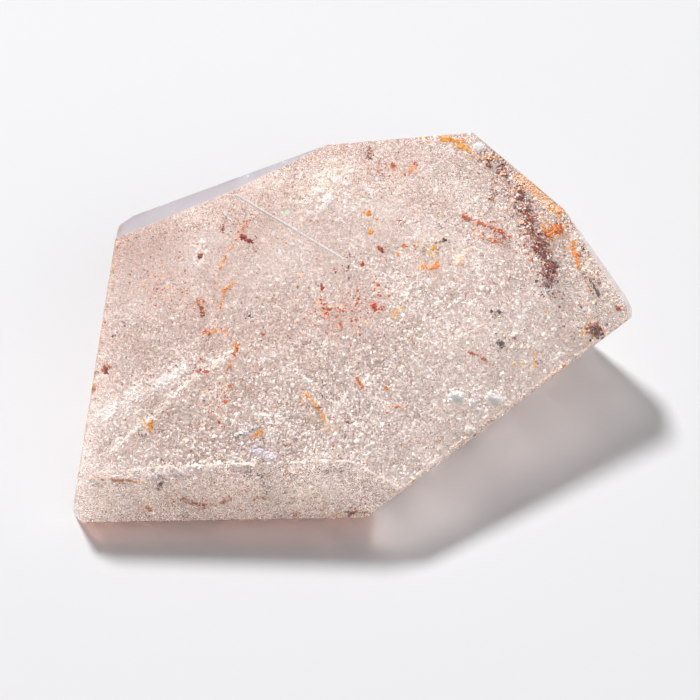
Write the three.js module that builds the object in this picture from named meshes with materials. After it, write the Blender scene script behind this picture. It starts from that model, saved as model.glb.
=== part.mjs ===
// A polished pink quartz freeform: one free-standing slab of stone, cut to flat facets that meet in crisp edges.
// Millimetres, +Z up. The stone rests on its flat base at z = 0. Its long side runs along X, and -Y is its front.
import * as THREE from "three";

// Every facet is a plane given by where it faces and how far it lies from the heart of the stone.
// heading: degrees round Z, 0 towards +X and 90 towards +Y. slope: degrees above level, 90 facing straight up.
// reach: distance from the heart to the facet, in millimetres.
const HEART = new THREE.Vector3(0, 0, 15);
const FACETS = [
  // The top is three broad facets that meet in shallow ridges and fall towards the front.
  { name: "main", heading: -97, slope: 66, reach: 9.5 },
  { name: "upper", heading: -55, slope: 78.5, reach: 11.8 },
  { name: "lower", heading: -64, slope: 52.5, reach: 12.8 },
  // Narrow facets round the rim of the top.
  { name: "front", heading: -91, slope: 26, reach: 21.2 },
  { name: "crest", heading: 122.5, slope: 48, reach: 29.6 },
  { name: "rim", heading: 19.5, slope: 32.5, reach: 39.5 },
  { name: "tip", heading: -5, slope: 23.5, reach: 42.8 },
  // The walls.
  { name: "left", heading: 176.3, slope: 10, reach: 40.6 },
  { name: "backLeft", heading: 148, slope: 0, reach: 42.8 },
  { name: "back", heading: 100.5, slope: 0.5, reach: 28.3 },
  { name: "backTurn", heading: 76, slope: -14, reach: 32.2 },
  { name: "backRight", heading: 49, slope: -5, reach: 36.7 },
  { name: "right", heading: 11, slope: -20.5, reach: 43.9 },
  // Undercut facets, between the walls and the base.
  { name: "frontFoot", heading: -88.5, slope: -39, reach: 28.2 },
  { name: "rightFoot", heading: -49, slope: -23.5, reach: 25.1 },
  { name: "heel", heading: -147, slope: -2.5, reach: 52 },
  { name: "backFoot", heading: 104, slope: -42, reach: 25 },
  // The flat base, which the stone stands on.
  { name: "base", heading: 0, slope: -90, reach: HEART.z },
];

const EDGE_RADIUS = 0.5; // the polish takes the sharpness off every edge
const EDGE_STEPS = 6; // faces across a rounded edge

const STONE_COLOUR = 0xd7c3bb;
const STONE_ROUGHNESS = 0.08;

// The direction that a facet faces.
function facing({ heading, slope }) {
  const turn = THREE.MathUtils.degToRad(heading);
  const lift = THREE.MathUtils.degToRad(slope);
  return new THREE.Vector3(
    Math.cos(turn) * Math.cos(lift),
    Math.sin(turn) * Math.cos(lift),
    Math.sin(lift),
  );
}

// The facets as planes that lie inward by the edge radius. A ball of that radius rolled over the shape they
// enclose touches the real facets, and leaves every edge and corner round.
const planes = FACETS.map((facet) => {
  const normal = facing(facet);
  return { normal, offset: normal.dot(HEART) + facet.reach - EDGE_RADIUS };
});

// The point where three planes meet, or null if they have none.
function meetingPoint(a, b, c) {
  const bc = b.normal.clone().cross(c.normal);
  const spread = a.normal.dot(bc);
  if (Math.abs(spread) < 1e-6) {
    return null;
  }
  const point = bc.multiplyScalar(a.offset);
  point.addScaledVector(c.normal.clone().cross(a.normal), b.offset);
  point.addScaledVector(a.normal.clone().cross(b.normal), c.offset);
  return point.divideScalar(spread);
}

// The corners: every meeting point of three planes that no other plane cuts away.
const corners = [];
for (let i = 0; i < planes.length; i += 1) {
  for (let j = i + 1; j < planes.length; j += 1) {
    for (let k = j + 1; k < planes.length; k += 1) {
      const point = meetingPoint(planes[i], planes[j], planes[k]);
      if (point && planes.every((plane) => plane.normal.dot(point) < plane.offset + 1e-6)) {
        corners.push({ point, facets: [i, j, k] });
      }
    }
  }
}

const positions = [];

function addTriangle(a, b, c) {
  positions.push(...a.toArray(), ...b.toArray(), ...c.toArray());
}

// The triangle turned so that it faces the way that outward points.
function addFacing(a, b, c, outward) {
  const side = b.clone().sub(a).cross(c.clone().sub(a)).dot(outward);
  if (side > 0) {
    addTriangle(a, b, c);
  } else {
    addTriangle(a, c, b);
  }
}

// The point on the ball round a corner in a direction between facet normals, mixed in whole steps.
function onBall(corner, normals, steps) {
  const direction = new THREE.Vector3();
  normals.forEach((normal, i) => direction.addScaledVector(normal, steps[i]));
  return corner.point.clone().addScaledVector(direction.normalize(), EDGE_RADIUS);
}

// The flat facets: the corners of each one in order round it, joined as a fan.
planes.forEach(({ normal }, index) => {
  const ring = corners.filter((corner) => corner.facets.includes(index));
  const middle = new THREE.Vector3();
  ring.forEach((corner) => middle.add(corner.point));
  middle.divideScalar(ring.length);
  const across = ring[0].point.clone().sub(middle).normalize();
  const along = normal.clone().cross(across);
  const angle = ({ point }) => {
    const arm = point.clone().sub(middle);
    return Math.atan2(arm.dot(along), arm.dot(across));
  };
  ring.sort((a, b) => angle(a) - angle(b));
  const outline = ring.map((corner) => onBall(corner, [normal], [1]));
  for (let i = 1; i < outline.length - 1; i += 1) {
    addFacing(outline[0], outline[i], outline[i + 1], normal);
  }
});

// The rounded edges: a strip between each two corners that share two facets.
for (let i = 0; i < corners.length; i += 1) {
  for (let j = i + 1; j < corners.length; j += 1) {
    const shared = corners[i].facets.filter((facet) => corners[j].facets.includes(facet));
    if (shared.length === 2) {
      const normals = shared.map((facet) => planes[facet].normal);
      for (let step = 0; step < EDGE_STEPS; step += 1) {
        const here = [EDGE_STEPS - step, step];
        const next = [EDGE_STEPS - step - 1, step + 1];
        const a = onBall(corners[i], normals, here);
        const b = onBall(corners[i], normals, next);
        const c = onBall(corners[j], normals, next);
        const d = onBall(corners[j], normals, here);
        const outward = normals[0].clone().add(normals[1]);
        addFacing(a, b, c, outward);
        addFacing(a, c, d, outward);
      }
    }
  }
}

// The rounded corners: a triangular patch of ball between the three facets that meet there.
corners.forEach((corner) => {
  const normals = corner.facets.map((facet) => planes[facet].normal);
  const outward = normals[0].clone().add(normals[1]).add(normals[2]);
  const at = (row, column) => onBall(corner, normals, [EDGE_STEPS - row, row - column, column]);
  for (let row = 0; row < EDGE_STEPS; row += 1) {
    for (let column = 0; column <= row; column += 1) {
      addFacing(at(row, column), at(row + 1, column), at(row + 1, column + 1), outward);
      if (column < row) {
        addFacing(at(row, column), at(row + 1, column + 1), at(row, column + 1), outward);
      }
    }
  }
});

const geometry = new THREE.BufferGeometry();
geometry.setAttribute("position", new THREE.Float32BufferAttribute(positions, 3));
geometry.computeVertexNormals();

const stone = new THREE.Mesh(
  geometry,
  new THREE.MeshStandardMaterial({ color: STONE_COLOUR, roughness: STONE_ROUGHNESS, metalness: 0 }),
);
stone.name = "quartz_freeform";

const group = new THREE.Group();
group.add(stone);

export default group;
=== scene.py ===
"""The looks of a polished pink quartz freeform: clear stone with flat facets, full of fine inclusions.

Everything is in metres. The stone rests on z = 0 with its long side along X, and the camera looks along +Y.
The stone itself is the CAD solid with a see-through material. Its tint is darker towards the key lamp, as
painted shade. What floats in it is joined meshes of small shards, each shard a flattened tetrahedron: pale
grains throughout, and coloured iron minerals in spots and veins. White crumbs stand in its surface as
painted glints.
"""

import math

import bpy
import numpy as np
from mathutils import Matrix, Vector


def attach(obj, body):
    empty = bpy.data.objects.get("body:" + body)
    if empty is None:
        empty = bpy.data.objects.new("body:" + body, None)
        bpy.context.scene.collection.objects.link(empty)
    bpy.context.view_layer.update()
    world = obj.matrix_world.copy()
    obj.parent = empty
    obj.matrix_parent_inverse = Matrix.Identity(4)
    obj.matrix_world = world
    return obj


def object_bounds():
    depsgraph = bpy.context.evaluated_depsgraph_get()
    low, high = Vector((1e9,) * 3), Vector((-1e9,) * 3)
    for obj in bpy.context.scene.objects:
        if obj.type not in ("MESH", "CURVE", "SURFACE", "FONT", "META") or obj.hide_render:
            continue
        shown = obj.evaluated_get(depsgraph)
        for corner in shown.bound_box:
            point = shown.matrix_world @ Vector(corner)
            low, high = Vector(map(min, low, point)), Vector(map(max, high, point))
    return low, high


MM = 0.001

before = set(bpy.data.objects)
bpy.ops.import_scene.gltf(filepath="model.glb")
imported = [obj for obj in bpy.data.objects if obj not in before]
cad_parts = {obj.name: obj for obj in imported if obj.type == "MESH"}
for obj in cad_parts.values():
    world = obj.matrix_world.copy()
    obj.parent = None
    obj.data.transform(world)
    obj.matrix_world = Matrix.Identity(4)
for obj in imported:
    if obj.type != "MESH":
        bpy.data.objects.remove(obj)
cad_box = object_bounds()
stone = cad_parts["quartz_freeform"]

# The photograph's viewpoint.
PHOTO = 700  # pixels across and down
LENS = 100.0
SENSOR = 36.0
CAMERA_ELEVATION = math.radians(55)
CAMERA_DISTANCE = 324 * MM
LOOK_AT = Vector((0, 0, 12 * MM))
CAMERA_BACK = Vector((0, -math.cos(CAMERA_ELEVATION), math.sin(CAMERA_ELEVATION)))

# The key light stands behind the stone and to its left. A broad fill stands in front of it, to the right.
# Each light is its heading and elevation in degrees, its distance, its diameter and its power in watts.
KEY = (120.6, 50, 2.2, 0.40, 44.5)
FILL = (-50, 48, 1.6, 1.3, 4.2)
SURROUND = (1.0, 0.995, 1.0)
SURROUND_STRENGTH = 0.215

PAPER_HALF = 2.0  # half the width of the paper
PAPER_COLOUR = (0.86, 0.86, 0.875, 1)
PAPER_ROUGHNESS = 0.9
PAPER_GLOSS = 0.1
FLOOR_DROP = 0.1 * MM  # the base and the paper must not lie in one plane

# The stone. Its tint is darker and rosier towards the key lamp's side, along a direction, from one place to
# another in metres: painted shade that evens out the lamp's light. Each tint stands where that shade, with
# the mottling, reaches its number.
IOR = 1.54
CLOUD_SCALE = 140
CLOUD_DETAIL = 4
LAMPWARD_WAY = (-0.45, 0.7, 0.4)
LAMPWARD_SHADE_FROM = (-0.034, 0.055)
MOTTLING = 0.9
TINT_SHARE = 0.7
TINTS_AND_SHADE = [(0.3, (1.0, 0.95, 0.925)), (0.68, (0.915, 0.85, 0.83)), (1.0, (0.64, 0.49, 0.45))]
DEEP_TINT = (1.0, 0.83, 0.78, 1)
DEEP_TINT_DENSITY = 4
POLISH = (0.015, 0.045)  # the least and the greatest roughness
WAVE_STRENGTH = 0.15
WAVE_HEIGHT = 0.1 * MM

# Two facets that look different: the front foot, with a painted shadow tint, and the crest, with haze and a
# painted reflection. Each faces a heading and a slope, in degrees.
FRONT_FOOT = (-88.5, -39)
FOOT_NEARNESS = (0.7, 0.98)  # the cosines to that direction where the painted shadow tint begins and where it is full
# The painted shadow: a dark rose tint on the front foot, which darkens the light passing out to the paper.
FOOT_SHADOW_TINT = (0.26, 0.085, 0.05, 1)
CREST = (122.5, 48)
CREST_NEARNESS = 0.985
# The crest's lavender grey is a painted reflection of the surroundings, seen at a flat angle.
CREST_REFLECTION = (0.44, 0.52, 0.70, 1)
CREST_SLANT = (0.4, 0.65)  # the view's slant where haze and painted reflection begin and where they are full
HAZE_ROUGHNESS = 0.4
BASE_NORMAL = -0.95  # only the base faces further down

rng = np.random.default_rng(11)


def make_camera():
    data = bpy.data.cameras.new("camera")
    data.lens = LENS
    data.sensor_width = SENSOR
    data.clip_start = 0.01
    camera = bpy.data.objects.new("camera", data)
    camera.location = LOOK_AT + CAMERA_BACK * CAMERA_DISTANCE
    camera.rotation_euler = (-CAMERA_BACK).to_track_quat("-Z", "Y").to_euler()
    bpy.context.collection.objects.link(camera)
    bpy.context.scene.camera = camera


def way_towards(heading, slope):
    """The direction with a heading and a slope in degrees."""
    turn, lift = math.radians(heading), math.radians(slope)
    return Vector((math.cos(turn) * math.cos(lift), math.sin(turn) * math.cos(lift), math.sin(lift)))


def make_light(name, heading, elevation, distance, diameter, watts):
    way = way_towards(heading, elevation)
    data = bpy.data.lights.new(name, "AREA")
    data.shape = "DISK"
    data.size = diameter
    data.energy = watts
    light = bpy.data.objects.new(name, data)
    light.location = LOOK_AT + way * distance
    light.rotation_euler = (-way).to_track_quat("-Z", "Y").to_euler()
    bpy.context.collection.objects.link(light)


def make_surround():
    world = bpy.data.worlds.new("surround")
    bpy.context.scene.world = world
    world.use_nodes = True
    shade = world.node_tree.nodes["Background"]
    shade.inputs["Color"].default_value = (*SURROUND, 1)
    shade.inputs["Strength"].default_value = SURROUND_STRENGTH


def make_floor():
    half, low = PAPER_HALF, -FLOOR_DROP
    mesh = bpy.data.meshes.new("paper")
    corners = [(-half, -half, low), (half, -half, low), (half, half, low), (-half, half, low)]
    mesh.from_pydata(corners, [], [(0, 1, 2, 3)])
    paper = bpy.data.objects.new("paper", mesh)
    bpy.context.collection.objects.link(paper)
    material = bpy.data.materials.new("paper")
    material.use_nodes = True
    shade = material.node_tree.nodes["Principled BSDF"]
    shade.inputs["Base Color"].default_value = PAPER_COLOUR
    shade.inputs["Roughness"].default_value = PAPER_ROUGHNESS
    shade.inputs["Specular IOR Level"].default_value = PAPER_GLOSS
    mesh.materials.append(material)


def calculate(tree, operation, *terms):
    """The result of a Math node. Each term is a number or the output of another node."""
    node = tree.nodes.new("ShaderNodeMath")
    node.operation = operation
    for socket, term in zip(node.inputs, terms):
        if isinstance(term, (int, float)):
            socket.default_value = term
        else:
            tree.links.new(term, socket)
    return node.outputs[0]


def dot_with(tree, vector, way):
    """How far a vector reaches along a fixed direction."""
    node = tree.nodes.new("ShaderNodeVectorMath")
    node.operation = "DOT_PRODUCT"
    node.inputs[1].default_value = way
    tree.links.new(vector, node.inputs[0])
    return node.outputs["Value"]


def map_range(tree, value, source, target=(0, 1)):
    """A value mapped from one range to another, and held inside it."""
    node = tree.nodes.new("ShaderNodeMapRange")
    node.inputs["From Min"].default_value, node.inputs["From Max"].default_value = source
    node.inputs["To Min"].default_value, node.inputs["To Max"].default_value = target
    tree.links.new(value, node.inputs["Value"])
    return node.outputs["Result"]


def colour_ramp(tree, value, stops):
    """The colour that a value picks from stops, each a position and a colour."""
    node = tree.nodes.new("ShaderNodeValToRGB")
    elements = node.color_ramp.elements
    while len(elements) < len(stops):
        elements.new(0.5)
    for element, (position, colour) in zip(elements, stops):
        element.position = position
        element.color = (*colour, 1)
    tree.links.new(value, node.inputs["Fac"])
    return node.outputs["Color"]


def mixed_with(tree, colour, other, share):
    """A colour mixed with a fixed one, by the share of the fixed one."""
    node = tree.nodes.new("ShaderNodeMix")
    node.data_type = "RGBA"
    node.inputs["B"].default_value = other
    tree.links.new(share, node.inputs["Factor"])
    tree.links.new(colour, node.inputs["A"])
    return node.outputs["Result"]


def shaded_stone_tint(tree, place, clouds):
    """The tint of the stone: mottled, and darker and rosier towards its upper left, as painted shade."""
    lampward_shade = map_range(tree, dot_with(tree, place, LAMPWARD_WAY), LAMPWARD_SHADE_FROM)
    mottled = calculate(tree, "MULTIPLY_ADD", clouds, MOTTLING, lampward_shade)
    return colour_ramp(tree, calculate(tree, "MULTIPLY", mottled, TINT_SHARE), TINTS_AND_SHADE)


def foot_shadow_share(tree, surface):
    """How much the surface is the undercut facet at the front, seen from outside or from inside. It gets
    the painted shadow tint.
    """
    outward = map_range(tree, surface.outputs["Backfacing"], (0, 1), (1, -1))
    side = dot_with(tree, surface.outputs["True Normal"], way_towards(*FRONT_FOOT))
    return map_range(tree, calculate(tree, "MULTIPLY", side, outward), FOOT_NEARNESS)


def crest_haze_and_reflection(tree, surface):
    """How much haze and painted reflection the surface gets. Only the crest facet does, at a flat angle: it
    is less well polished, and its lavender grey is painted reflection.
    """
    side = dot_with(tree, surface.outputs["True Normal"], way_towards(*CREST))
    on_crest = calculate(tree, "GREATER_THAN", side, CREST_NEARNESS)
    slanted = tree.nodes.new("ShaderNodeLayerWeight")
    return calculate(tree, "MULTIPLY", on_crest, map_range(tree, slanted.outputs["Facing"], CREST_SLANT))


def lamp_share(tree, surface):
    """1 for a ray to a lamp from inside the stone or from under its base, and 0 for any other ray."""
    ray = tree.nodes.new("ShaderNodeLightPath")
    facing = tree.nodes.new("ShaderNodeSeparateXYZ")
    tree.links.new(surface.outputs["True Normal"], facing.inputs[0])
    under_base = calculate(tree, "LESS_THAN", facing.outputs["Z"], BASE_NORMAL)
    lets_through = calculate(tree, "MAXIMUM", surface.outputs["Backfacing"], under_base)
    return calculate(tree, "MULTIPLY", ray.outputs["Is Shadow Ray"], lets_through)


def quartz_material():
    """Clear quartz. Lamp light also reaches what lies in the stone or under its base without being bent."""
    material = bpy.data.materials.new("quartz")
    material.use_nodes = True
    tree = material.node_tree
    nodes = tree.nodes
    link = tree.links.new
    shade = nodes["Principled BSDF"]
    shade.inputs["IOR"].default_value = IOR
    shade.inputs["Transmission Weight"].default_value = 1.0

    place = nodes.new("ShaderNodeTexCoord").outputs["Object"]
    noise = nodes.new("ShaderNodeTexNoise")
    noise.inputs["Scale"].default_value = CLOUD_SCALE
    noise.inputs["Detail"].default_value = CLOUD_DETAIL
    link(place, noise.inputs["Vector"])
    clouds = noise.outputs["Fac"]
    surface = nodes.new("ShaderNodeNewGeometry")

    # The tint carries painted shade, darker on the side the key lamp lights most.
    tint = shaded_stone_tint(tree, place, clouds)
    foot_shadowed = mixed_with(tree, tint, FOOT_SHADOW_TINT, foot_shadow_share(tree, surface))
    haze_and_reflection = crest_haze_and_reflection(tree, surface)
    link(mixed_with(tree, foot_shadowed, CREST_REFLECTION, haze_and_reflection), shade.inputs["Base Color"])
    polish = map_range(tree, clouds, (0, 1), POLISH)
    link(calculate(tree, "MULTIPLY_ADD", haze_and_reflection, HAZE_ROUGHNESS, polish), shade.inputs["Roughness"])
    waves = nodes.new("ShaderNodeBump")
    waves.inputs["Strength"].default_value = WAVE_STRENGTH
    waves.inputs["Distance"].default_value = WAVE_HEIGHT
    link(clouds, waves.inputs["Height"])
    link(waves.outputs["Normal"], shade.inputs["Normal"])

    # Lamp light let through is tinted too, painted shade included.
    clear = nodes.new("ShaderNodeBsdfTransparent")
    link(tint, clear.inputs["Color"])
    mix = nodes.new("ShaderNodeMixShader")
    link(lamp_share(tree, surface), mix.inputs["Fac"])
    link(shade.outputs[0], mix.inputs[1])
    link(clear.outputs[0], mix.inputs[2])
    link(mix.outputs[0], nodes["Material Output"].inputs["Surface"])

    depth = nodes.new("ShaderNodeVolumeAbsorption")
    depth.inputs["Color"].default_value = DEEP_TINT
    depth.inputs["Density"].default_value = DEEP_TINT_DENSITY
    link(depth.outputs[0], nodes["Material Output"].inputs["Volume"])
    return material


def grain_material(name, tones, roughness, gloss=0.5):
    """Opaque grains. Each grain has one tone from 0 to 1, which picks its colour and its roughness."""
    material = bpy.data.materials.new(name)
    material.use_nodes = True
    tree = material.node_tree
    shade = tree.nodes["Principled BSDF"]
    tone = tree.nodes.new("ShaderNodeAttribute")
    tone.attribute_name = "tone"
    tree.links.new(colour_ramp(tree, tone.outputs["Fac"], tones), shade.inputs["Base Color"])
    rough = map_range(tree, tone.outputs["Fac"], (0, 1), roughness)
    tree.links.new(rough, shade.inputs["Roughness"])
    shade.inputs["Specular IOR Level"].default_value = gloss
    return material


def face_planes(mesh, least_area):
    """The planes of the faces over an area, each once, as rows of an outward normal and an offset."""
    normals = np.empty(len(mesh.polygons) * 3)
    areas = np.empty(len(mesh.polygons))
    corners = np.empty(len(mesh.vertices) * 3)
    mesh.polygons.foreach_get("normal", normals)
    mesh.polygons.foreach_get("area", areas)
    mesh.vertices.foreach_get("co", corners)
    normals = np.unique(normals.reshape(-1, 3)[areas > least_area].round(3), axis=0)
    normals /= np.linalg.norm(normals, axis=1)[:, None]
    offsets = (normals @ corners.reshape(-1, 3).T).max(1)
    return np.column_stack([normals, offsets])


# The flat facets alone, and the flat facets with the faces of the rounded edges and corners.
FACETS = face_planes(stone.data, 3 * MM * MM)
FACES = face_planes(stone.data, 1e-4 * MM * MM)
EDGE_DEPTH = 1 * MM  # the rounding of the edges matters only above this depth
BATCHES = 16


def room_under(points, planes):
    """How far each point lies under the nearest plane, which is above 0 only in the convex stone."""
    return (planes[:, 3] - points @ planes[:, :3].T).min(1)


def depth_of(points):
    """How deep each point lies in the stone. The rounded edges count only for points just under a facet."""
    depths = room_under(points, FACETS)
    shallow = np.flatnonzero((depths > 0) & (depths < EDGE_DEPTH))
    for batch in np.array_split(shallow, BATCHES):
        depths[batch] = room_under(points[batch], FACES)
    return depths


TOP_NORMAL = 0.3  # the facets of the top face further up than this


def flat_ways(points):
    """The way a flake's flat side faces: up under the top, and outward under the walls and foot."""
    nearest = (FACETS[:, 3] - points @ FACETS[:, :3].T).argmin(1)
    normals = FACETS[nearest, :3]
    return np.where(normals[:, 2:] > TOP_NORMAL, (0, 0, 1), normals)


class Clouds:
    """Smooth noise in space, about -1 to 1, from plane waves of random heading."""

    def __init__(self, size, waves=24):
        ways = rng.normal(size=(waves, 3))
        ways /= np.linalg.norm(ways, axis=1)[:, None]
        lengths = size * rng.uniform(0.6, 2.0, waves)
        self.ways = ways * (2 * math.pi / lengths)[:, None]
        self.starts = rng.uniform(0, 2 * math.pi, waves)
        self.scale = math.sqrt(2 / waves)

    def __call__(self, points):
        return np.cos(points @ self.ways.T + self.starts).sum(1) * self.scale * 0.6


LEAST_DEPTH = 0.25 * MM  # what is spread through the stone lies at least this deep
JUST_UNDER = 0.8 * MM  # what lies just under a facet lies less deep than this


def spread(count, chance):
    """Points in the stone, kept with a chance that depends on the depth and the place."""
    low, high = np.array(cad_box[0]), np.array(cad_box[1])
    found = []
    total = 0
    while total < count:
        points = rng.uniform(low, high, (count, 3))
        depths = depth_of(points)
        kept = (depths > LEAST_DEPTH) & (rng.uniform(size=count) < chance(points, depths))
        found.append(np.column_stack([points[kept], depths[kept]]))
        total += kept.sum()
    found = np.concatenate(found)[:count]
    return found[:, :3], found[:, 3]


def varied(size, variation, count):
    """Sizes round a middle one. The variation is the standard deviation of their logarithm."""
    return size * np.exp(rng.normal(0, variation, count))


def near(ways, jitter):
    """Each of the ways, turned a little at random."""
    ways = ways + rng.normal(0, jitter, ways.shape)
    return ways / np.linalg.norm(ways, axis=1)[:, None]


SHARD = np.array([(1, 1, 1), (1, -1, -1), (-1, 1, -1), (-1, -1, 1)]) / math.sqrt(3)
SHARD_FACES = np.array([(0, 1, 2), (0, 3, 1), (0, 2, 3), (1, 3, 2)])
SHARD_REACH = 0.77  # no corner of a shard of size 1 lies farther from its centre


def shard_corners(centres, sizes, ways, flatness):
    """The four corners of every shard. Its flat sides face the way and the opposite way."""
    side = np.cross(ways, rng.normal(size=ways.shape))
    side /= np.linalg.norm(side, axis=1)[:, None]
    turns = np.stack([side, np.cross(ways, side), ways], 2)
    corners = np.einsum("nij,kj->nki", turns, SHARD * (1, 0.8, flatness))
    return corners * sizes[:, None, None] + centres[:, None, :]


def make_shards(name, corners, tones, material):
    """One mesh of closed shards. Each has a tone, and its own cell in the map that a bake may use."""
    count = len(corners)
    faces = SHARD_FACES[None] + 4 * np.arange(count)[:, None, None]
    mesh = bpy.data.meshes.new(name)
    mesh.vertices.add(count * 4)
    mesh.vertices.foreach_set("co", corners.astype(np.float32).ravel())
    mesh.loops.add(count * 12)
    mesh.loops.foreach_set("vertex_index", faces.astype(np.int32).ravel())
    mesh.polygons.add(count * 4)
    mesh.polygons.foreach_set("loop_start", np.arange(0, count * 12, 3, dtype=np.int32))
    mesh.update(calc_edges=True)
    mesh.shade_flat()
    tone = mesh.attributes.new("tone", "FLOAT", "POINT")
    tone.data.foreach_set("value", np.repeat(tones.clip(0, 1), 4).astype(np.float32))
    across = math.ceil(math.sqrt(count))
    cells = np.stack([np.arange(count) % across, np.arange(count) // across], 1)
    triangle = np.array([(0.1, 0.1), (0.9, 0.1), (0.1, 0.9)])
    places = (cells[:, None, None, :] + np.broadcast_to(triangle, (count, 4, 3, 2))) / across
    bake_map = mesh.uv_layers.new(name="OFBake", do_init=False)
    bake_map.uv.foreach_set("vector", places.astype(np.float32).ravel())
    mesh.materials.append(material)
    piece = bpy.data.objects.new(name, mesh)
    bpy.context.collection.objects.link(piece)
    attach(piece, "root")


# The tones of the pale grains. The last two are for the few dark ones.
PALE = [
    (0.0, (1.0, 1.0, 0.99)),
    (0.4, (1.0, 0.985, 0.97)),
    (0.8, (1.0, 0.93, 0.89)),
    (0.9, (0.66, 0.50, 0.43)),
    (1.0, (0.42, 0.30, 0.26)),
]

GRAINS = 49500  # in each piece
GRAIN_PIECES = 4
GRAIN_SIZE = 0.18 * MM
GRAIN_DEPTH = 0.35 * MM  # no grain lies less deep
GRAIN_DRIFTS = [(11 * MM, 0.16), (4 * MM, 0.16), (1.6 * MM, 0.12)]  # how large, and how much tone each adds
ROSY_REACH = 30 * MM
DARK_GRAINS = 0.03
# Grains lower than this are darker, as painted shade.
SHADED_BELOW = 5 * MM


def make_grains():
    """The fine pale grains that fill the stone, thicker near its faces and near its foot."""
    pale = grain_material("pale grains", PALE, (0.5, 0.7), 0.2)
    density = Clouds(7 * MM)
    drifts = [(Clouds(size), share) for size, share in GRAIN_DRIFTS]

    def rosy(points):
        return (points @ LAMPWARD_WAY / ROSY_REACH).clip(0, 1)

    def chance(points, depths):
        shallow = 0.3 + 0.7 * np.exp(-depths / (3 * MM))
        low = 0.5 + 0.5 * np.exp(-points[:, 2] / (6 * MM))
        thick = (0.7 + 0.3 * density(points)) * (0.5 + 0.5 * rosy(points))
        return (depths > GRAIN_DEPTH) * shallow * low * thick

    for i in range(GRAIN_PIECES):
        centres, depths = spread(GRAINS, chance)
        sizes = varied(GRAIN_SIZE, 0.42, GRAINS) * (1 - 0.2 * rosy(centres))
        sizes = np.minimum(sizes, depths)
        # Drifts of cream and rose, and rosier and darker low down, as painted shade for the stone's shadow.
        tones = 0.4 + 0.1 * rng.uniform(-1, 1, GRAINS)
        for drift, share in drifts:
            tones += share * drift(centres)
        tones[centres[:, 2] < SHADED_BELOW] += 0.2
        tones = tones.clip(0, 0.8)
        dark = rng.uniform(size=GRAINS) < DARK_GRAINS
        tones[dark] = rng.uniform(0.85, 1, dark.sum())
        level = rng.uniform(size=(GRAINS, 1)) < 0.5
        ways = np.where(level, (0, 0, 1), flat_ways(centres))
        corners = shard_corners(centres, sizes, near(ways, 0.3), 0.25)
        make_shards(f"grains_{i}", corners, tones, pale)


SPARKS = 6500
SPARK_SIZE = 0.16 * MM
SPARK_TONES = [(0.0, (1.0, 1.0, 1.0)), (1.0, (1.0, 0.95, 0.91))]
SPARK_TILT = (-0.15, 0, 0)
FOOT_HEIGHT = 3 * MM  # no white flake lies lower


def make_sparks():
    """White flakes just under the facets. They lie nearly level, and throw back the light of the lamp."""
    bright = grain_material("bright flakes", SPARK_TONES, (0.2, 0.3))
    drifts = Clouds(4 * MM)

    def chance(points, depths):
        return (depths < JUST_UNDER) * (points[:, 2] > FOOT_HEIGHT) * (0.25 + 0.75 * drifts(points))

    centres, depths = spread(SPARKS, chance)
    sizes = np.minimum(varied(SPARK_SIZE, 0.55, SPARKS), 1.2 * depths)
    corners = shard_corners(centres, sizes, near(flat_ways(centres) + SPARK_TILT, 0.22), 0.2)
    make_shards("sparks", corners, rng.uniform(size=SPARKS), bright)


# The minerals in the stone, each with its tone on one ramp and its colour.
MINERALS = {
    "white": (0.0, (1.0, 1.0, 1.0)),
    "cream": (0.1, (1.0, 0.92, 0.82)),
    "peach": (0.2, (0.98, 0.66, 0.45)),
    "yellow": (0.3, (0.88, 0.55, 0.10)),
    "orange": (0.4, (0.82, 0.34, 0.06)),
    "rust": (0.5, (0.50, 0.13, 0.05)),
    "red": (0.6, (0.62, 0.07, 0.03)),
    "plum": (0.7, (0.20, 0.08, 0.085)),
    "grey": (0.8, (0.40, 0.38, 0.38)),
    "lilac": (0.9, (0.86, 0.84, 0.93)),
    "black": (1.0, (0.03, 0.025, 0.03)),
}

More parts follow.
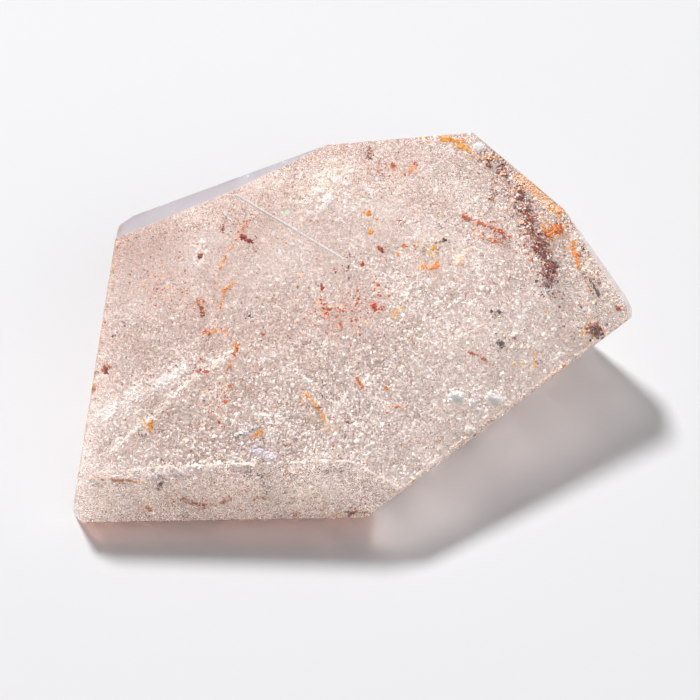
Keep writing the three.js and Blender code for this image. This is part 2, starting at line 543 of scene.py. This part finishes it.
# Trails of minerals: what they are made of, how wide in pixels, how many grains, the grain size and the
# range of depth in millimetres, and the pixels of the photograph that the trail runs through. One pixel
# makes a spot.
TRAILS = [
    # The purple band by the right-hand edge, with its orange border, down to the corner on the right.
    ("plum plum plum grey cream peach plum", 5.5, 1700, 0.15, (0.15, 1.0),
     [(486, 160), (501, 160), (513, 180), (521, 199), (527, 212), (531, 228), (541, 247), (550, 266),
      (547, 288)]),
    ("plum plum rust plum", 4.5, 700, 0.16, (0.15, 0.8),
     [(524, 206), (541, 247), (550, 266), (547, 288)]),
    ("rust plum peach white", 9, 600, 0.13, (0.2, 1.2), [(500, 170), (512, 200), (536, 250), (547, 280)]),
    ("orange peach cream peach", 4.2, 900, 0.17, (0.15, 0.7),
     [(517, 177), (533, 188), (549, 202), (563, 214)]),
    ("orange rust orange", 3, 260, 0.20, (0.15, 0.6), [(546, 233), (556, 230), (562, 229)]),
    ("orange", 1.2, 90, 0.16, (0.15, 0.4), [(571, 242), (575, 255), (579, 268)]),
    ("rust black", 1.5, 40, 0.18, (0.15, 0.4), [(583, 247), (580, 257)]),
    ("plum black", 1.0, 90, 0.17, (0.15, 0.4), [(589, 279), (594, 286), (599, 296)]),
    ("yellow orange cream", 7, 220, 0.17, (0.2, 0.9), [(592, 329)]),
    ("plum black rust", 4, 200, 0.20, (0.15, 0.6), [(590, 327), (600, 332)]),
    ("rust", 2, 40, 0.17, (0.15, 0.4), [(618, 308)]),
    ("peach cream cream", 14, 420, 0.15, (0.2, 1.0), [(560, 225), (590, 275), (615, 305)]),
    # The top edge.
    ("yellow orange yellow", 1.4, 260, 0.18, (0.12, 0.4), [(440, 139), (453, 140), (460, 143), (468, 149)]),
    ("peach orange cream", 1.6, 170, 0.15, (0.15, 0.6), [(466, 148), (477, 157), (500, 158)]),
    ("yellow orange", 1.4, 30, 0.18, (0.12, 0.3), [(426, 136)]),
    # A painted glint: white flakes under the bright spot near the top corner.
    ("white", 1.8, 200, 0.24, (0.12, 0.4), [(478, 146)]),
    ("grey white", 2, 30, 0.12, (0.15, 0.4), [(433, 167)]),
    ("rust orange", 2.5, 60, 0.16, (0.15, 0.4), [(392, 164), (397, 168)]),
    ("rust peach", 3, 50, 0.16, (0.15, 0.5), [(414, 167)]),
    ("orange", 1.8, 30, 0.17, (0.15, 0.4), [(369, 213)]),
    ("yellow orange", 1.5, 26, 0.17, (0.15, 0.4), [(371, 231)]),
    ("white cream", 9, 420, 0.19, (0.15, 1.0), [(306, 208), (325, 186), (348, 164)]),
    ("white", 3, 90, 0.2, (0.15, 0.5), [(326, 202), (329, 197)]),
    # The middle of the top.
    ("rust rust rust peach", 1.8, 260, 0.13, (0.15, 0.5), [(462, 215), (480, 224), (497, 229), (516, 239)]),
    ("rust peach", 2.5, 140, 0.13, (0.15, 0.5), [(472, 229), (485, 238), (508, 243)]),
    ("peach cream", 1.3, 120, 0.15, (0.15, 0.5), [(453, 266), (460, 259), (467, 250)]),
    ("peach orange", 2, 110, 0.15, (0.15, 0.5), [(419, 268), (440, 266)]),
    ("grey yellow", 6, 120, 0.14, (0.3, 1.2), [(418, 250), (436, 252)]),
    ("plum black", 1.3, 24, 0.17, (0.12, 0.3), [(444, 240)]),
    ("rust orange", 1.6, 40, 0.17, (0.12, 0.3), [(405, 246)]),
    ("plum rust", 1.6, 34, 0.17, (0.12, 0.3), [(380, 249)]),
    ("plum red", 1.2, 20, 0.16, (0.12, 0.3), [(363, 264)]),
    ("plum", 1.3, 26, 0.17, (0.12, 0.3), [(350, 253), (348, 271)]),
    ("red", 1.3, 40, 0.2, (0.12, 0.3), [(374, 306), (376, 311)]),
    ("red rust", 1.2, 26, 0.18, (0.12, 0.3), [(329, 309)]),
    ("red plum", 0.9, 22, 0.16, (0.12, 0.3), [(321, 285), (323, 289)]),
    ("red rust peach rust", 15, 330, 0.14, (0.15, 0.8), [(335, 318), (352, 312), (380, 290)]),
    ("rust peach", 10, 160, 0.13, (0.2, 1.2), [(318, 300), (345, 330)]),
    ("yellow", 1.3, 26, 0.17, (0.12, 0.3), [(403, 306), (391, 318)]),
    ("black plum", 1.7, 70, 0.2, (0.12, 0.3), [(500, 343), (502, 345)]),
    ("black", 0.8, 12, 0.16, (0.12, 0.3), [(499, 312)]),
    ("rust", 1.1, 110, 0.13, (0.15, 0.4), [(468, 352), (478, 355), (486, 361)]),
    ("orange yellow", 1.5, 30, 0.18, (0.12, 0.3), [(535, 366), (535, 352)]),
    ("yellow", 1.2, 18, 0.16, (0.12, 0.3), [(515, 364)]),
    ("orange", 1.2, 18, 0.16, (0.12, 0.3), [(563, 367)]),
    ("orange rust", 1.0, 60, 0.16, (0.12, 0.3), [(356, 377), (360, 384), (363, 390)]),
    ("orange rust", 1.2, 24, 0.17, (0.12, 0.3), [(386, 388)]),
    ("rust peach", 1.0, 40, 0.15, (0.12, 0.3), [(387, 407), (405, 407)]),
    # Painted glints: white flakes under the flares by the ridge at the lower right.
    ("white", 3, 330, 0.24, (0.12, 0.5), [(453, 396), (461, 399)]),
    ("white", 3, 330, 0.24, (0.12, 0.5), [(489, 396), (500, 401)]),
    ("white", 2, 110, 0.22, (0.12, 0.5), [(472, 402)]),
    ("white cream", 3, 130, 0.2, (0.12, 0.5), [(470, 430)]),
    ("white cream", 14, 420, 0.18, (0.15, 1.0), [(420, 345), (480, 330), (540, 335)]),
    ("plum rust grey", 12, 110, 0.13, (0.2, 1.0), [(560, 280), (575, 310)]),
    # The left of the top.
    ("white", 1.0, 90, 0.17, (0.12, 0.3), [(202, 239), (194, 262), (198, 266), (207, 251)]),
    ("rust plum", 2, 40, 0.15, (0.15, 0.4), [(200, 256)]),
    ("orange peach", 1.0, 110, 0.15, (0.12, 0.4), [(247, 220), (236, 240), (224, 259), (217, 274)]),
    ("plum red", 1.5, 70, 0.15, (0.12, 0.4), [(240, 235), (252, 243)]),
    ("plum rust", 1.6, 40, 0.15, (0.12, 0.4), [(223, 222), (223, 232)]),
    ("rust orange plum", 2.5, 110, 0.16, (0.12, 0.5), [(197, 300), (202, 314)]),
    ("orange peach", 1.0, 150, 0.15, (0.12, 0.4), [(235, 282), (225, 289), (222, 301), (218, 311)]),
    ("orange peach rust", 1.4, 200, 0.14, (0.15, 0.5), [(202, 332), (224, 330), (238, 345), (228, 370)]),
    ("grey black white", 4, 60, 0.09, (0.15, 0.5), [(249, 314)]),
    ("grey plum white", 1.2, 90, 0.11, (0.15, 0.4), [(114, 336), (120, 329), (127, 321)]),
    ("rust plum", 3, 70, 0.15, (0.15, 0.6), [(106, 368)]),
    ("plum red", 1.4, 34, 0.15, (0.12, 0.3), [(192, 371), (209, 372)]),
    ("white", 4.5, 1100, 0.15, (0.15, 0.7), [(92, 424), (130, 400), (184, 368)]),
    ("white cream", 2.4, 700, 0.14, (0.15, 0.6), [(108, 452), (150, 418), (190, 382), (236, 350)]),
    ("orange yellow", 1.4, 60, 0.18, (0.12, 0.3), [(150, 421), (150, 430)]),
    ("grey grey white", 2.2, 230, 0.15, (0.15, 0.5), [(230, 440), (242, 433), (262, 425)]),
    ("orange", 1, 24, 0.16, (0.12, 0.3), [(264, 427), (253, 437)]),
    ("lilac", 2.2, 220, 0.15, (0.15, 0.5), [(253, 447), (262, 453), (275, 458)]),
    ("grey white cream grey white black", 3.4, 260, 0.10, (0.15, 0.5),
     [(322, 471), (336, 468), (350, 473)]),
    ("orange yellow", 0.8, 110, 0.14, (0.12, 0.3),
     [(303, 392), (310, 397), (317, 407), (325, 420), (332, 432)]),
    ("black plum", 0.8, 16, 0.18, (0.12, 0.3), [(317, 407)]),
    ("black grey", 2.2, 45, 0.10, (0.12, 0.3), [(317, 394), (327, 398)]),
    ("rust peach", 12, 200, 0.13, (0.2, 1.2), [(200, 430), (240, 380)]),
    ("rust peach", 14, 240, 0.13, (0.2, 1.4), [(140, 270), (190, 300)]),
    # The front strip.
    ("orange peach", 0.9, 170, 0.15, (0.12, 0.3), [(91, 479), (127, 480), (138, 482), (148, 484)]),
    ("white cream lilac", 4, 900, 0.17, (0.15, 0.8), [(86, 482), (150, 477), (240, 466)]),
    ("white cream", 9, 1500, 0.14, (0.2, 0.9), [(95, 497), (350, 497)]),
    ("plum grey", 2, 60, 0.15, (0.12, 0.4), [(155, 489), (164, 484)]),
    ("rust red peach cream", 2.8, 240, 0.12, (0.12, 0.5), [(185, 502), (200, 506), (222, 503), (234, 497)]),
    ("peach rust cream", 4, 170, 0.11, (0.15, 0.6), [(240, 494), (290, 503), (320, 495)]),
    ("white", 1.6, 40, 0.2, (0.12, 0.3), [(124, 508), (129, 507)]),
    ("orange", 1.4, 36, 0.17, (0.12, 0.3), [(146, 507), (152, 511)]),
    ("plum rust orange", 2.2, 90, 0.16, (0.12, 0.4), [(346, 515), (356, 511), (366, 513)]),
    # The thin white line along the ridge between the two largest facets, a painted glint of its edge.
    ("white", 0.2, 700, 0.12, (0.10, 0.15), [(235, 195), (287, 226), (339, 257)]),
    ("white cream", 0.3, 90, 0.09, (0.12, 0.3), [(339, 256), (385, 284), (432, 313)]),
    # The warm rims along the left edge and the lower edge.
    ("peach cream cream", 1.8, 700, 0.13, (0.15, 0.7), [(118, 240), (101, 330), (87, 420), (76, 485)]),
    ("peach cream cream", 0.8, 420, 0.11, (0.12, 0.4),
     [(380, 511), (428, 465), (494, 416), (584, 350), (626, 318)]),
    # The whitish ridge above the front strip.
    ("white cream", 0.7, 560, 0.11, (0.12, 0.4),
     [(92, 474), (155, 467), (221, 465), (321, 461), (350, 461)]),
    ("white cream", 0.9, 110, 0.11, (0.15, 0.5), [(432, 316), (414, 326), (388, 368), (350, 461)]),
    ("white cream", 1.0, 200, 0.12, (0.12, 0.4), [(350, 461), (402, 489)]),
]


def seen_at(pixels, depths):
    """The points that show at pixels of the photograph, at depths along the bent lines of sight."""
    focal = LENS / SENSOR * PHOTO
    eye = np.array(LOOK_AT + CAMERA_BACK * CAMERA_DISTANCE)
    up = np.array((0, math.sin(CAMERA_ELEVATION), math.cos(CAMERA_ELEVATION)))
    rays = -np.array(CAMERA_BACK) * focal + (PHOTO / 2 - pixels[:, 1:]) * up
    rays[:, 0] += pixels[:, 0] - PHOTO / 2
    rays /= np.linalg.norm(rays, axis=1)[:, None]
    slopes = rays @ FACETS[:, :3].T
    reach = (FACETS[:, 3] - FACETS[:, :3] @ eye) / np.where(slopes < 0, slopes, -1e-9)
    facet = np.where(slopes < 0, reach, -np.inf).argmax(1)
    rows = np.arange(len(rays))
    normals = FACETS[facet, :3]
    cosines = -slopes[rows, facet]
    inner = np.sqrt(1 - (1 - cosines ** 2) / IOR ** 2)
    bent = rays / IOR + (cosines / IOR - inner)[:, None] * normals
    return eye + rays * reach[rows, facet][:, None] + bent * depths[:, None]


def pick_tones(minerals, count):
    """Tones of minerals drawn at random from a list of names."""
    tones = np.array([MINERALS[name][0] for name in minerals.split()])
    return rng.choice(tones, count) + rng.uniform(-0.02, 0.02, count)


SPECKS = 3000
SPECK_SIZE = 0.13 * MM
SPECK_MINERALS = "rust rust plum peach peach orange grey grey black red"


def make_specks(material):
    """Specks of iron minerals sprinkled under the facets, in loose drifts."""
    drifts = Clouds(5 * MM)

    def chance(points, depths):
        return (depths < JUST_UNDER) * np.clip(drifts(points) - 0.1, 0, 1)

    centres, depths = spread(SPECKS, chance)
    sizes = np.minimum(varied(SPECK_SIZE, 0.4, SPECKS), 1.2 * depths)
    tones = pick_tones(SPECK_MINERALS, SPECKS)
    corners = shard_corners(centres, sizes, near(flat_ways(centres), 0.3), 0.3)
    make_shards("specks", corners, tones, material)


def along_route(route, count):
    """Random pixels along a route, which may be a single spot."""
    route = np.array(route, float)
    if len(route) == 1:
        route = np.repeat(route, 2, 0)
    lengths = np.linalg.norm(np.diff(route, axis=0), axis=1)
    marks = np.concatenate([[0], np.cumsum(lengths)])
    at = rng.uniform(0, marks[-1], count)
    return np.stack([np.interp(at, marks, route[:, 0]), np.interp(at, marks, route[:, 1])], 1)


# A few flakes of each trail lie astray. The others keep closer than its width says.
ASTRAY = 0.15
ASTRAY_WIDTH = 3.5
USUAL_WIDTH = 0.75
FLAKE_SCALE = 1.35  # all flakes are this much larger than the trails say


def trail_flakes():
    """The spots, strands and veins that the photograph shows, as places, sizes and tones."""
    parts = []
    for minerals, width, count, size, depth, route in TRAILS:
        pixels = along_route(route, count)
        widths = np.where(rng.uniform(size=(count, 1)) < ASTRAY, ASTRAY_WIDTH, USUAL_WIDTH)
        pixels += rng.normal(0, width, (count, 2)) * widths
        places = seen_at(pixels, rng.uniform(*depth, count) * MM)
        sizes = varied(FLAKE_SCALE * size * MM, 0.4, count)
        parts.append((places, sizes, pick_tones(minerals, count)))
    return [np.concatenate(part) for part in zip(*parts)]


WALL_MARKS = 160
MARK_DEPTH = 0.4 * MM
MARK_FLAKES = (20, 160)
MARK_WIDTH = 0.35 * MM
MARK_SIZE = 0.15 * MM
MARK_MINERALS = ["rust plum", "rust peach cream", "orange peach", "white", "white cream", "grey white",
                 "plum grey", "yellow orange", "red rust"]


def wall_flakes():
    """Marks like those of the top, under the walls and the foot, which the photograph doesn't show."""

    def chance(points, depths):
        return (depths < MARK_DEPTH) & (flat_ways(points)[:, 2] < TOP_NORMAL)

    starts, _ = spread(WALL_MARKS, chance)
    parts = []
    for start in starts:
        count = rng.integers(*MARK_FLAKES)
        along = rng.normal(size=3) * rng.uniform(0.1, 2.5) * MM
        places = start + along * rng.uniform(-1, 1, (count, 1)) + rng.normal(0, MARK_WIDTH, (count, 3))
        sizes = varied(MARK_SIZE, 0.4, count)
        parts.append((places, sizes, pick_tones(rng.choice(MARK_MINERALS), count)))
    return [np.concatenate(part) for part in zip(*parts)]


FLAKE_DEPTH = 0.08 * MM  # flakes less deep than this are left out
FLAKE_MARGIN = 0.02 * MM  # the least depth of a flake's corners


def make_minerals(material):
    """The minerals of the trails and the walls, in patches of larger and smaller flakes."""
    centres, sizes, tones = (np.concatenate(pair) for pair in zip(trail_flakes(), wall_flakes()))
    sizes *= (1 + 0.6 * Clouds(1.5 * MM)(centres)).clip(0.5, 1.3)
    depths = depth_of(centres)
    kept = depths > FLAKE_DEPTH
    centres, sizes, tones, depths = (values[kept] for values in (centres, sizes, tones, depths))
    ways = near(flat_ways(centres), 0.12)
    # A flake that would reach out of the stone is made as small as its depth asks.
    corners = shard_corners(centres, sizes, ways, 0.2)
    out = depth_of(corners.reshape(-1, 3)).reshape(-1, 4).min(1) < FLAKE_MARGIN
    sizes[out] = np.minimum(sizes[out], depths[out] / SHARD_REACH * 0.9)
    make_shards("minerals", shard_corners(centres, sizes, ways, 0.2), tones, material)


# Where the surface shows painted glints, white crumbs stand in it; the frosted patch is white crumbs too.
# Each mark is a tone, a width in pixels, a number of crumbs, their size in millimetres and the pixels of
# the photograph that it runs through.
GLINTS_AND_FROST = [
    # The painted glint along the ridge between the two largest facets.
    (0, 0.3, 1000, 0.12, [(235.6, 193.9), (287.5, 225.0), (339.5, 256.1)]),
    # Painted glints: the flares by the ridge at the lower right, and the round spot near the top corner.
    (0, 1.3, 110, 0.16, [(452, 395), (462, 399)]),
    (0, 1.3, 130, 0.16, [(488, 396), (501, 401)]),
    (0, 1.0, 50, 0.15, [(472, 402)]),
    (0, 1.6, 150, 0.16, [(478.5, 146.5)]),
    (0, 1.2, 50, 0.14, [(470, 430)]),
    # The frosted patch near the top of the ridge.
    (0, 1.2, 60, 0.14, [(317, 190), (324, 191)]),
    (0, 1.4, 90, 0.15, [(322, 208), (330, 198)]),
    (0, 1.3, 60, 0.12, [(299, 203), (313, 200)]),
    (0, 1.5, 60, 0.12, [(306, 212), (320, 212)]),
    (0, 0.7, 36, 0.13, [(302, 172), (299, 178)]),
    (0, 0.9, 70, 0.13, [(336, 178), (342, 181), (348, 184)]),
    (0, 1.2, 90, 0.13, [(363, 184), (370, 191), (372, 197)]),
    (0, 0.9, 24, 0.13, [(345, 200)]),
    (0, 0.9, 20, 0.13, [(353, 209)]),
    (0, 0.9, 20, 0.13, [(377, 178)]),
    # Pinpoint painted glints, from left to right.
    (0, 0.8, 18, 0.12, [(225.5, 213)]),
    (0, 0.8, 16, 0.12, [(229.5, 219)]),
    (0, 0.7, 12, 0.11, [(248.5, 216)]),
    (0, 1.0, 24, 0.12, [(273, 233)]),
    (0, 1.0, 24, 0.12, [(262.5, 239.5)]),
    (0, 1.3, 40, 0.13, [(279.5, 253.5)]),
    (0, 1.0, 20, 0.12, [(292, 243.5)]),
    (0, 0.8, 16, 0.12, [(381, 151)]),
    (0, 0.8, 18, 0.12, [(394, 193)]),
    (0, 0.6, 12, 0.11, [(417, 144.5)]),
    (0, 0.6, 12, 0.11, [(428, 145)]),
    (0, 1.1, 30, 0.12, [(451, 151)]),
    (0, 1.0, 26, 0.12, [(465, 153)]),
    (0, 1.1, 40, 0.13, [(428, 280.5)]),
    (0, 0.8, 16, 0.12, [(453, 311)]),
    (0, 0.9, 20, 0.12, [(473, 305)]),
    (0, 0.9, 20, 0.12, [(503, 306)]),
    (0, 0.6, 12, 0.11, [(503, 220)]),
    (0, 0.8, 16, 0.12, [(518.5, 258.5)]),
    (0, 0.8, 40, 0.12, [(520, 320), (526, 309)]),
    (0, 0.8, 14, 0.12, [(532, 300)]),
    (0, 1.4, 60, 0.12, [(539, 292), (553, 288)]),
    (0, 0.8, 16, 0.12, [(542, 316)]),
    (0, 0.9, 18, 0.12, [(554, 328)]),
    # Two painted flashes of green.
    (1, 0.8, 40, 0.12, [(283, 214), (289, 211)]),
    (1, 0.7, 20, 0.12, [(480, 251)]),
]
GLINT_TONES = [(0.0, (1.0, 1.0, 1.0)), (1.0, (0.55, 1.0, 0.72))]  # white and green painted glints
STRAY_GLINTS = 1600
STRAY_GLINT_SIZE = 0.085 * MM
STRAY_GLINT_DEPTH = 0.5 * MM  # stray painted glints are points up to this deep, moved out to the surface
STRAY_GLINT_HEIGHT = 1.5 * MM
CRUMB_RISE = 0.02 * MM  # how far the middle of a crumb stands out
TO_THE_LAMP = (-0.1, 0.15, 0)


def make_glint_crumbs():
    """White crumbs in the surface, mostly painted glints: the marks that the photograph shows, and stray
    glints all round.
    """
    white = grain_material("white crumbs", GLINT_TONES, (0.5, 0.6))
    drifts = Clouds(4 * MM)

    def chance(points, depths):
        return (depths < STRAY_GLINT_DEPTH) * (points[:, 2] > STRAY_GLINT_HEIGHT) * (0.2 + 0.8 * drifts(points))

    stray_glints, _ = spread(STRAY_GLINTS, chance)
    parts = [(stray_glints, varied(STRAY_GLINT_SIZE, 0.5, STRAY_GLINTS), np.zeros(STRAY_GLINTS))]
    for tone, width, count, size, route in GLINTS_AND_FROST:
        pixels = along_route(route, count) + rng.normal(0, width, (count, 2))
        places = seen_at(pixels, np.zeros(count))
        parts.append((places, varied(size * MM, 0.25, count), np.full(count, tone)))
    centres, sizes, tones = (np.concatenate(part) for part in zip(*parts))
    room = FACETS[:, 3] - centres @ FACETS[:, :3].T
    nearest = room.argmin(1)
    normals = FACETS[nearest, :3]
    kept = room_under(centres, FACES) > -0.02 * MM
    centres += (room[np.arange(len(room)), nearest] + CRUMB_RISE)[:, None] * normals
    ways = near(flat_ways(centres) + TO_THE_LAMP, 0.05)
    corners = shard_corners(centres[kept], sizes[kept], ways[kept], 0.12)
    make_shards("crumbs", corners, tones[kept], white)


def set_render():
    scene = bpy.context.scene
    scene.view_settings.view_transform = "Standard"
    scene.cycles.max_bounces = 24
    scene.cycles.diffuse_bounces = 10
    scene.cycles.glossy_bounces = 12
    scene.cycles.transmission_bounces = 16


make_camera()
make_light("key", *KEY)
make_light("fill", *FILL)
make_surround()
make_floor()
stone.data.materials.clear()
stone.data.materials.append(quartz_material())
make_grains()
make_sparks()
iron = grain_material("minerals", list(MINERALS.values()), (0.3, 0.45))
make_specks(iron)
make_minerals(iron)
make_glint_crumbs()
set_render()
